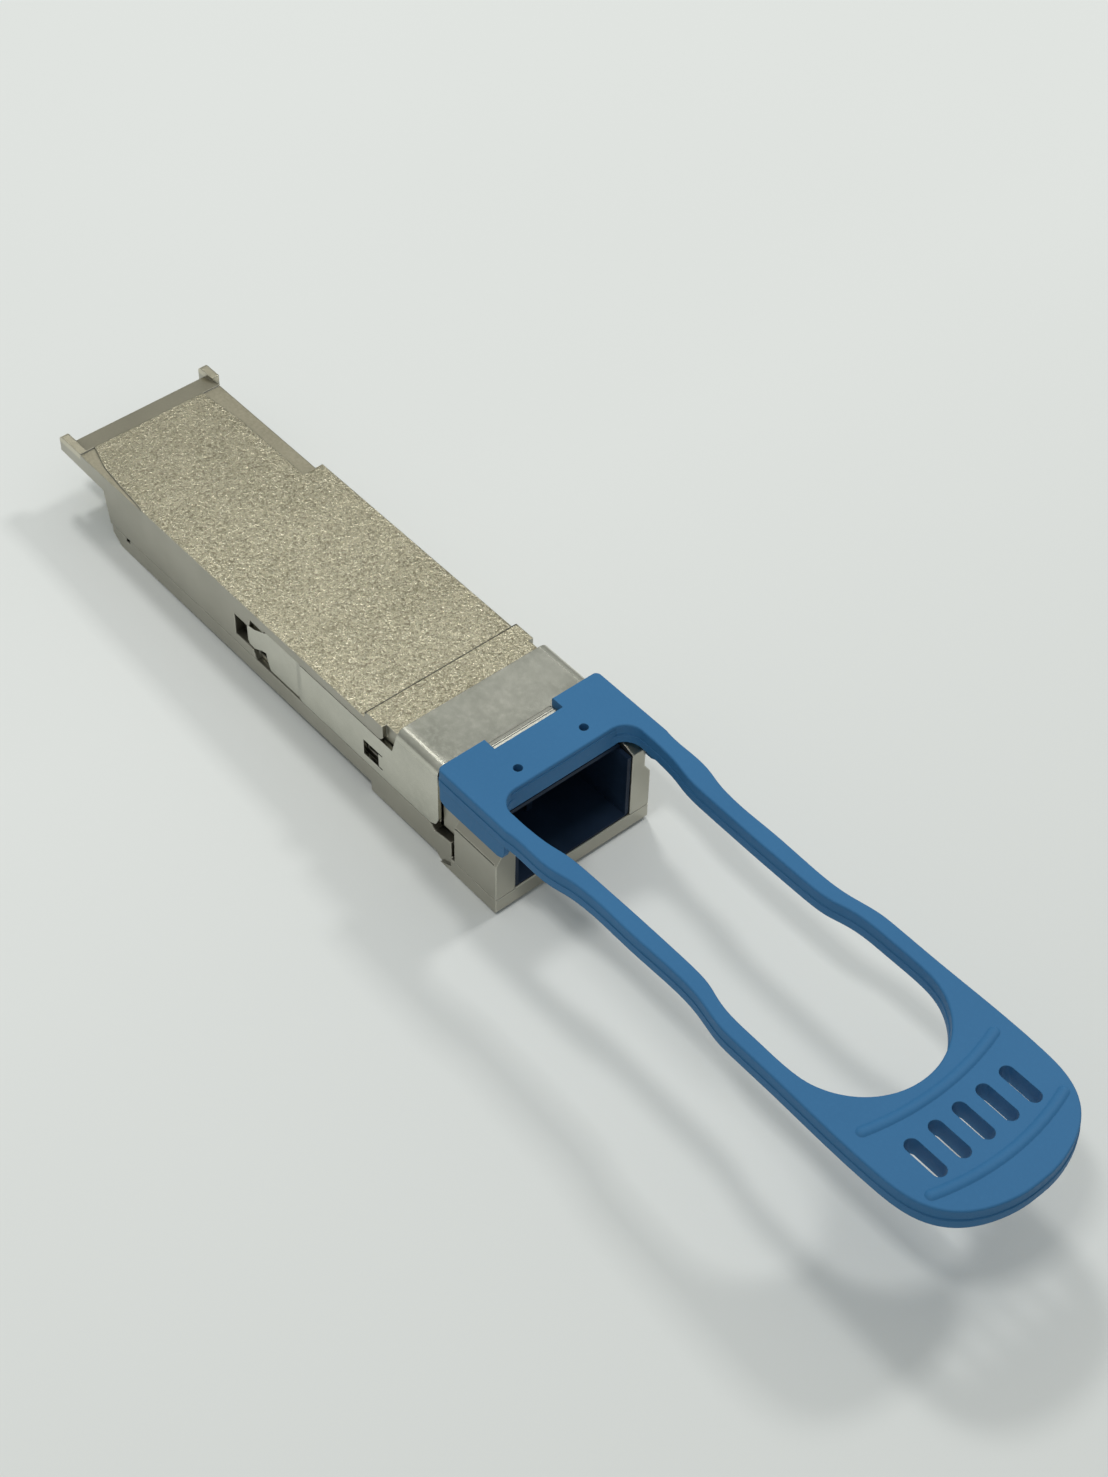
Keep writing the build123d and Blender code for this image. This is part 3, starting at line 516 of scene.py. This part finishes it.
def moulded_case(name, low, high, up):
    """Moulded package: drafted sides, a shallow sunk panel and a pin-one dimple."""
    case = block(name, low, high)
    edit(case)
    pick_facing(case, 2, up)
    bpy.ops.transform.resize(value=(0.96, 0.96, 1))
    bpy.ops.mesh.inset(thickness=0.18 * MM, depth=0)
    bpy.ops.mesh.inset(thickness=0.05 * MM, depth=-0.03 * MM)
    close()
    soften(case, 0.03 * MM)
    face = high[2] if up > 0 else low[2]
    bpy.ops.object.select_all(action="DESELECT")
    bpy.ops.mesh.primitive_cylinder_add(vertices=24, radius=0.22 * MM, depth=0.2 * MM,
                                        location=(low[0] + 0.75 * MM, low[1] + 0.75 * MM, face))
    punch = bpy.context.object
    cut = case.modifiers.new("dimple", "BOOLEAN")
    cut.operation = "DIFFERENCE"
    cut.object = punch
    bpy.context.view_layer.objects.active = case
    bpy.ops.object.modifier_apply(modifier="dimple")
    bpy.data.objects.remove(punch)
    return case


def gull_wing(at, width, drop):
    """One lead: out of the case, down to the card, and along it, towards +X."""
    x, y, z = at
    half = width / 2
    lead = block("lead", (x - 0.1 * MM, y - half, z - 0.05 * MM), (x + 0.1 * MM, y + half, z + 0.05 * MM))
    for step in ((0.06 * MM, 0, 0), (0.08 * MM, 0, drop), (0.2 * MM, 0, 0)):
        edit(lead)
        pick_facing(lead, 0, 1)
        bpy.ops.mesh.extrude_region_move(TRANSFORM_OT_translate={"value": step})
        close()
    return lead


def leaded_chip(node, count, up=1):
    """Leaded package with gull-wing leads on all four sides, on the card's upper or lower face."""
    low, high = (Vector(corner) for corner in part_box(node))
    margin = Vector((LEAD_MARGIN, LEAD_MARGIN, 0))
    lift = Vector((0, 0, 0.08 * MM))
    card = low.z if up > 0 else high.z
    case_low = low + margin + (lift if up > 0 else Vector())
    case_high = high - margin - (Vector() if up > 0 else lift)
    case = moulded_case(node + "_case", case_low, case_high, up)
    centre = (low + high) / 2
    half = (case_high - case_low) / 2
    leads = []
    for turn in range(4):
        reach, span = (half.x, half.y) if turn % 2 == 0 else (half.y, half.x)
        pitch = 2 * (span - 0.25 * MM) / (count - 1)
        first = (reach, -span + 0.25 * MM, centre.z - card)
        master = gull_wing(first, 0.45 * pitch, card + 0.06 * MM * up - centre.z)
        for index in range(count):
            lead = shifted_copy(master, (0, index * pitch, 0)) if index else master
            leads.append((lead, turn))
    for lead, turn in leads:
        lead.data.transform(Matrix.Translation((0, 0, card)))
        lead.data.transform(Matrix.Rotation(turn * math.pi / 2, 4, "Z"))
        lead.data.transform(Matrix.Translation((centre.x, centre.y, 0)))
    all_leads = gather(node + "_leads", [lead for lead, turn in leads])
    settle(case, "chip_mould", node)
    settle(all_leads, "terminal_tin")


def processor_package(node):
    """Large package: laminate carrier with a stiffening lid, standing on a grid of solder balls."""
    low, high = (Vector(corner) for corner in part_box(node))
    ball = 0.3 * MM
    seat = low.z + 0.62 * MM
    carrier = block(node + "_carrier", low + Vector((0, 0, ball)), (high.x, high.y, seat))
    soften(carrier, 0.04 * MM)
    lid_low = Vector((low.x + 0.7 * MM, low.y + 0.7 * MM, seat))
    lid_high = high - Vector((0.7 * MM, 0.7 * MM, 0))
    lid = block(node + "_lid", lid_low, lid_high)
    edit(lid)
    pick_facing(lid, 2, 1)
    bpy.ops.mesh.inset(thickness=0.9 * MM, depth=0)
    bpy.ops.mesh.select_all(action="DESELECT")
    bpy.ops.object.mode_set(mode="OBJECT")
    for face in lid.data.polygons:
        rim = face.normal.z > 0.9 and (face.center - (lid_low + lid_high) / 2).xy.length > 1 * MM
        face.select = rim
    bpy.ops.object.mode_set(mode="EDIT")
    bpy.ops.mesh.extrude_region_move(TRANSFORM_OT_translate={"value": (0, 0, -0.12 * MM)})
    close()
    soften(lid, 0.05 * MM)
    bpy.ops.object.select_all(action="DESELECT")
    bpy.ops.mesh.primitive_uv_sphere_add(segments=8, ring_count=5, radius=ball / 2,
                                         location=(low.x + 0.8 * MM, low.y + 0.8 * MM, low.z + ball / 2))
    first = bpy.context.object
    bpy.ops.object.transform_apply(location=True, rotation=True, scale=True)
    balls = [first]
    for index in range(1, BALL_COUNT ** 2):
        column, row = divmod(index, BALL_COUNT)
        balls.append(shifted_copy(first, (column * BALL_PITCH, row * BALL_PITCH, 0)))
    grid = gather(node + "_balls", balls)
    settle(lid, "engine_metal", node)
    settle(carrier, "board_laminate")
    settle(grid, "terminal_tin")


def islands(node):
    """Corner pairs of the separate blocks in one node."""
    bpy.ops.object.select_all(action="DESELECT")
    copy = nodes[node].copy()
    copy.data = nodes[node].data.copy()
    bpy.context.scene.collection.objects.link(copy)
    copy.select_set(True)
    bpy.context.view_layer.objects.active = copy
    bpy.ops.object.mode_set(mode="EDIT")
    bpy.ops.mesh.select_all(action="SELECT")
    bpy.ops.mesh.remove_doubles(threshold=0.001 * MM)
    bpy.ops.mesh.separate(type="LOOSE")
    bpy.ops.object.mode_set(mode="OBJECT")
    parts = list(bpy.context.selected_objects)
    corners = []
    for part in parts:
        spots = [vertex.co for vertex in part.data.vertices]
        corners.append((Vector([min(s[i] for s in spots) for i in range(3)]),
                        Vector([max(s[i] for s in spots) for i in range(3)])))
        bpy.data.objects.remove(part)
    return corners


def chip_capacitors(node):
    """Ceramic bodies with rounded tin caps on both ends."""
    bodies, caps = [], []
    for low, high in islands(node):
        axis = 0 if high.x - low.x >= high.y - low.y else 1
        cap = (high[axis] - low[axis]) * 0.24
        body_low, body_high = low.copy(), high.copy()
        body_low[axis] += cap * 0.9
        body_high[axis] -= cap * 0.9
        slim = Vector((0.03 * MM, 0.03 * MM, 0.03 * MM))
        slim[axis] = 0
        bodies.append(block("body", body_low + slim, body_high - slim))
        for end in (0, 1):
            cap_low, cap_high = low.copy(), high.copy()
            if end:
                cap_low[axis] = high[axis] - cap
            else:
                cap_high[axis] = low[axis] + cap
            caps.append(block("cap", cap_low, cap_high))
    body = gather(node + "_bodies", bodies)
    soften(body, 0.03 * MM)
    ends = gather(node + "_ends", caps)
    soften(ends, 0.05 * MM)
    settle(body, "ceramic_white", node)
    settle(ends, "terminal_tin")


def return_spring(node):
    """Round-wire return-spring coil laid along the full length of its part."""
    low, high = (Vector(corner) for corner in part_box(node))
    middle = (low + high) / 2
    coil = (high.z - low.z - SPRING_WIRE) / 2
    bpy.ops.object.select_all(action="DESELECT")
    bpy.ops.mesh.primitive_circle_add(vertices=10, radius=SPRING_WIRE / 2, location=(0, 0, 0))
    spring = bpy.context.object
    spring.name = node + "_coil"
    spring.data.transform(Matrix.Rotation(math.pi / 2, 4, "X"))
    spring.data.transform(Matrix.Translation((coil, 0, 0)))
    turn = spring.modifiers.new("turn", "SCREW")
    turn.axis = "Z"
    turn.iterations = SPRING_TURNS
    turn.steps = turn.render_steps = 24
    turn.screw_offset = (high.x - low.x - SPRING_WIRE) / SPRING_TURNS
    turn.use_merge_vertices = False
    bpy.ops.object.modifier_apply(modifier="turn")
    edit(spring)
    bpy.ops.mesh.select_all(action="SELECT")
    bpy.ops.mesh.remove_doubles(threshold=0.001 * MM)
    bpy.ops.mesh.fill_holes(sides=0)
    bpy.ops.mesh.select_all(action="SELECT")
    bpy.ops.mesh.normals_make_consistent(inside=False)
    bpy.ops.mesh.select_all(action="DESELECT")
    close()
    spring.data.transform(Matrix.Rotation(math.pi / 2, 4, "Y"))
    spring.data.transform(Matrix.Translation((low.x + SPRING_WIRE / 2, middle.y, middle.z)))
    smooth(spring, 50)
    settle(spring, "spring_steel", node)
    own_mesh(spring)


def soft_pad(node):
    """Gap-filler pad with pillowed edges."""
    pad = block(node + "_gel", *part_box(node))
    edit(pad)
    bpy.ops.mesh.select_all(action="SELECT")
    bpy.ops.mesh.subdivide(number_cuts=3)
    close()
    soften(pad, 0.06 * MM, 3)
    smooth(pad, 35)
    settle(pad, "thermal_gel", node)


# ---------------------------------------------------------------- the module

add_camera()
add_floor()
light_room()

FINISHES = {
    "cast_metal": blasted_nickel(),
    "sheet_metal": rolled_sheet(),
    "tab_polymer": blue_polymer(),
    "port_plastic": black_liner(),
    "board_laminate": solder_mask(),
    "gold_plate": plain_finish("hard_gold", (0.80, 0.56, 0.20), (0.92, 0.68, 0.28), (0.2, 0.32), 1.0),
    "chip_mould": plain_finish("black_epoxy", (0.018, 0.018, 0.02), (0.03, 0.03, 0.033), (0.5, 0.65)),
    "ceramic_white": plain_finish("ground_ceramic", (0.80, 0.79, 0.75), (0.88, 0.87, 0.84), (0.2, 0.3)),
    "engine_metal": plain_finish("plated_housing", (0.66, 0.56, 0.38), (0.76, 0.66, 0.46), (0.25, 0.36), 1.0),
    "flex_film": plain_finish("amber_film", (0.50, 0.22, 0.04), (0.60, 0.28, 0.06), (0.25, 0.4)),
    "thermal_gel": plain_finish("soft_pad", (0.22, 0.27, 0.33), (0.28, 0.33, 0.39), (0.7, 0.85)),
    "gasket_rubber": plain_finish("filled_rubber", (0.03, 0.03, 0.03), (0.06, 0.06, 0.06), (0.6, 0.8)),
    "screw_steel": plain_finish("dark_steel", (0.14, 0.14, 0.145), (0.22, 0.22, 0.225), (0.3, 0.45), 1.0),
    "spring_steel": plain_finish("drawn_wire", (0.56, 0.56, 0.55), (0.70, 0.70, 0.69), (0.2, 0.32), 1.0),
    "label_film": plain_finish("blank_film", (0.76, 0.76, 0.73), (0.84, 0.84, 0.81), (0.4, 0.5)),
    "terminal_tin": plain_finish("tin_terminals", (0.60, 0.58, 0.54), (0.74, 0.72, 0.68), (0.3, 0.45), 1.0),
}
for node in nodes.values():
    for slot in node.material_slots:
        slot.material = FINISHES[slot.material.name.split(".")[0]]

processor_package("signal_processor")
leaded_chip("controller", 8, -1)
leaded_chip("memory_chip", 5)
leaded_chip("laser_driver", 7)
leaded_chip("receiver_amplifier", 7)
chip_capacitors("capacitors")
return_spring("return_spring_left")
return_spring("return_spring_right")
soft_pad("processor_thermal_pad")
soft_pad("optics_thermal_pad")
